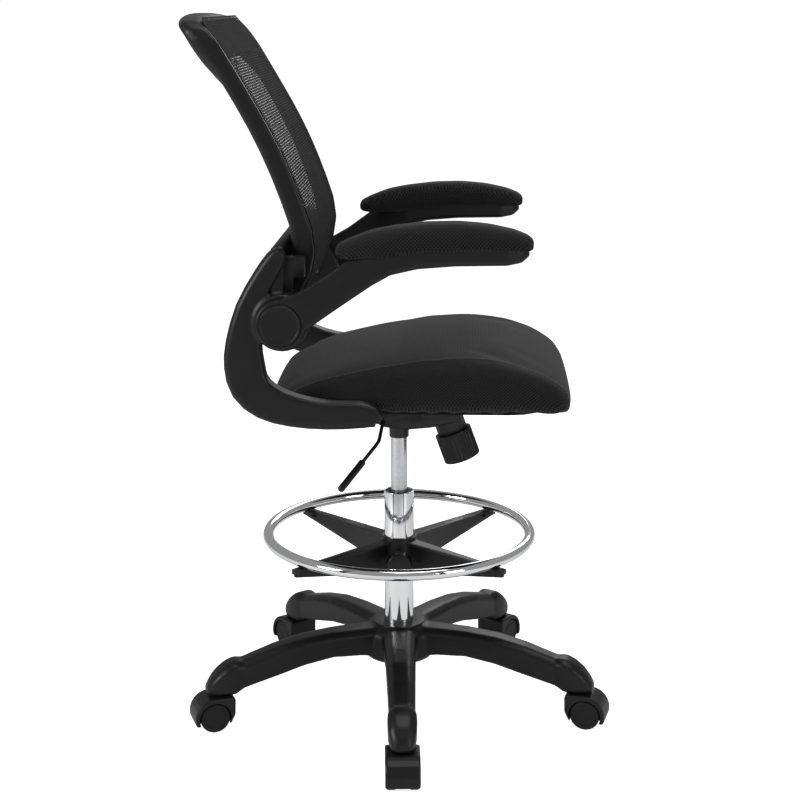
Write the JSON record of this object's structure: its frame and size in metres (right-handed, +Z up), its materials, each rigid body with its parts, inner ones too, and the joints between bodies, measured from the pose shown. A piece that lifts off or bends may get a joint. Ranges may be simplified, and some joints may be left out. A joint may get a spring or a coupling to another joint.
{
  "type": "drafting chair",
  "caption": "Tall drafting chair with a fabric seat, mesh back, flip-up armrests, gas lift, tilt mechanism, foot ring and a caster base.",
  "frame": {"origin": "on the floor, under the middle of the overall box", "axes": "+Z up, the sitter faces -Y, the sitter's left is +X"},
  "size_m": [0.6886, 0.71, 1.1709],
  "materials": {
    "nylon": "satin black moulded nylon",
    "tread": "black moulded wheel",
    "chrome": "polished plate",
    "steel": "turned",
    "black_steel": "black powder coat",
    "board": "plywood",
    "seat_fabric": "black woven cloth over foam",
    "mesh_fabric": "black open-weave mesh"
  },
  "bodies": {
    "base": {"star_base": "nylon", "column_tube": "chrome", "column_bush": "nylon", "thrust_bearing": "steel"},
    "caster_1": {"caster_1_hood": "nylon", "caster_1_stem": "steel", "caster_1_axle": "steel"},
    "caster_1_left": {"caster_1_wheel_left": "tread"},
    "caster_1_right": {"caster_1_wheel_right": "tread"},
    "caster_2": {"caster_2_hood": "nylon", "caster_2_stem": "steel", "caster_2_axle": "steel"},
    "caster_2_left": {"caster_2_wheel_left": "tread"},
    "caster_2_right": {"caster_2_wheel_right": "tread"},
    "caster_3": {"caster_3_hood": "nylon", "caster_3_stem": "steel", "caster_3_axle": "steel"},
    "caster_3_left": {"caster_3_wheel_left": "tread"},
    "caster_3_right": {"caster_3_wheel_right": "tread"},
    "caster_4": {"caster_4_hood": "nylon", "caster_4_stem": "steel", "caster_4_axle": "steel"},
    "caster_4_left": {"caster_4_wheel_left": "tread"},
    "caster_4_right": {"caster_4_wheel_right": "tread"},
    "caster_5": {"caster_5_hood": "nylon", "caster_5_stem": "steel", "caster_5_axle": "steel"},
    "caster_5_left": {"caster_5_wheel_left": "tread"},
    "caster_5_right": {"caster_5_wheel_right": "tread"},
    "rod": {"piston_rod": "steel"},
    "lift": {"gas_cylinder": "chrome", "mechanism_housing": "black_steel", "column_collar": "black_steel", "tension_spring": "steel", "tilt_pin": "steel"},
    "release": {"release_pin": "steel"},
    "lever": {"height_lever": "black_steel", "lever_grip": "nylon"},
    "tension": {"tension_knob": "nylon"},
    "seat": {"seat_plate": "black_steel", "seat_pan": "board", "seat_cushion": "seat_fabric", "side_arm_left": "nylon", "side_arm_right": "nylon", "back_yoke": "nylon", "back_frame": "nylon", "back_mesh": "mesh_fabric", "back_bracket_left": "black_steel", "back_bracket_right": "black_steel", "hinge_pin_left": "steel", "hinge_pin_right": "steel"},
    "armrest_left": {"armrest_beam_left": "nylon", "armrest_pad_left": "mesh_fabric", "hinge_cap_left": "nylon"},
    "armrest_right": {"armrest_beam_right": "nylon", "armrest_pad_right": "mesh_fabric", "hinge_cap_right": "nylon"},
    "ring": {"foot_ring": "chrome", "ring_spider": "nylon"},
    "ring_clamp": {"ring_knob": "nylon"}
  },
  "joints": [
    {"name": "caster_1_swivel", "type": "hinge", "parent": "base", "child": "caster_1", "pos_m": [-0.29504, -0.01354, 0.0594], "axis": [0, 0, 1], "continuous": true},
    {"name": "caster_1_left_roll", "type": "hinge", "parent": "caster_1", "child": "caster_1_left", "pos_m": [-0.30902, -0.01438, 0.025], "axis": [0.0593, -0.9982, 0], "continuous": true},
    {"name": "caster_1_right_roll", "type": "hinge", "parent": "caster_1", "child": "caster_1_right", "pos_m": [-0.30902, -0.01438, 0.025], "axis": [0.0593, -0.9982, 0], "continuous": true},
    {"name": "caster_2_swivel", "type": "hinge", "parent": "base", "child": "caster_2", "pos_m": [-0.05776, -0.30242, 0.0594], "axis": [0, 0, 1], "continuous": true},
    {"name": "caster_2_left_roll", "type": "hinge", "parent": "caster_2", "child": "caster_2_left", "pos_m": [-0.06129, -0.31596, 0.025], "axis": [0.9677, -0.2521, 0], "continuous": true},
    {"name": "caster_2_right_roll", "type": "hinge", "parent": "caster_2", "child": "caster_2_right", "pos_m": [-0.06129, -0.31596, 0.025], "axis": [0.9677, -0.2521, 0], "continuous": true},
    {"name": "caster_3_swivel", "type": "hinge", "parent": "base", "child": "caster_3", "pos_m": [0.2903, -0.16601, 0.0594], "axis": [0, 0, 1], "continuous": true},
    {"name": "caster_3_left_roll", "type": "hinge", "parent": "caster_3", "child": "caster_3_left", "pos_m": [0.30209, -0.17356, 0.025], "axis": [0.5388, 0.8425, 0], "continuous": true},
    {"name": "caster_3_right_roll", "type": "hinge", "parent": "caster_3", "child": "caster_3_right", "pos_m": [0.30209, -0.17356, 0.025], "axis": [0.5388, 0.8425, 0], "continuous": true},
    {"name": "caster_4_swivel", "type": "hinge", "parent": "base", "child": "caster_4", "pos_m": [0.26813, 0.20716, 0.0594], "axis": [0, 0, 1], "continuous": true},
    {"name": "caster_4_left_roll", "type": "hinge", "parent": "caster_4", "child": "caster_4_left", "pos_m": [0.27894, 0.21604, 0.025], "axis": [-0.6347, 0.7727, 0], "continuous": true},
    {"name": "caster_4_right_roll", "type": "hinge", "parent": "caster_4", "child": "caster_4_right", "pos_m": [0.27894, 0.21604, 0.025], "axis": [-0.6347, 0.7727, 0], "continuous": true},
    {"name": "caster_5_swivel", "type": "hinge", "parent": "base", "child": "caster_5", "pos_m": [-0.09363, 0.30139, 0.0594], "axis": [0, 0, 1], "continuous": true},
    {"name": "caster_5_left_roll", "type": "hinge", "parent": "caster_5", "child": "caster_5_left", "pos_m": [-0.09874, 0.31443, 0.025], "axis": [-0.9311, -0.3649, 0], "continuous": true},
    {"name": "caster_5_right_roll", "type": "hinge", "parent": "caster_5", "child": "caster_5_right", "pos_m": [-0.09874, 0.31443, 0.025], "axis": [-0.9311, -0.3649, 0], "continuous": true},
    {"name": "column_swivel", "type": "hinge", "parent": "base", "child": "rod", "pos_m": [0.0224, 0.00531, 0.066], "axis": [0, 0, 1], "continuous": true},
    {"name": "gas_lift", "type": "slide", "parent": "rod", "child": "lift", "axis": [0, 0, 1], "range_m": [-0.085, 0.115]},
    {"name": "height_lever", "type": "hinge", "parent": "lift", "child": "lever", "pos_m": [0.0224, 0.03031, 0.512], "axis": [1, 0, 0], "range_deg": [0, 7], "stiffness_Nm_per_rad": 2, "springref_deg": -8.59},
    {"name": "valve_press", "type": "slide", "parent": "lift", "child": "release", "axis": [0, 0, -1], "range_m": [0, 0.0036]},
    {"name": "tension_turn", "type": "hinge", "parent": "lift", "child": "tension", "pos_m": [0.0224, -0.08469, 0.489], "axis": [0, 0.342, 0.9397], "continuous": true},
    {"name": "seat_tilt", "type": "hinge", "parent": "lift", "child": "seat", "pos_m": [0.0224, -0.04969, 0.533], "axis": [-1, 0, 0], "range_deg": [0, 12], "stiffness_Nm_per_rad": 150, "springref_deg": -8.59},
    {"name": "armrest_left_flip", "type": "hinge", "parent": "seat", "child": "armrest_left", "pos_m": [0.29935, 0.16931, 0.723], "axis": [-1, 0, 0], "range_deg": [0, 90]},
    {"name": "armrest_right_flip", "type": "hinge", "parent": "seat", "child": "armrest_right", "pos_m": [-0.25455, 0.16931, 0.723], "axis": [-1, 0, 0], "range_deg": [0, 90]},
    {"name": "ring_height", "type": "slide", "parent": "base", "child": "ring", "axis": [0, 0, 1], "range_m": [-0.085, 0.055]},
    {"name": "ring_clamp_turn", "type": "hinge", "parent": "ring", "child": "ring_clamp", "pos_m": [0.0224, 0.00531, 0.26995], "axis": [-0.9991, -0.0419, 0], "continuous": true}
  ],
  "couplings": [
    {"joint": "valve_press", "follows": "height_lever", "m_per_rad": 0.027}
  ]
}
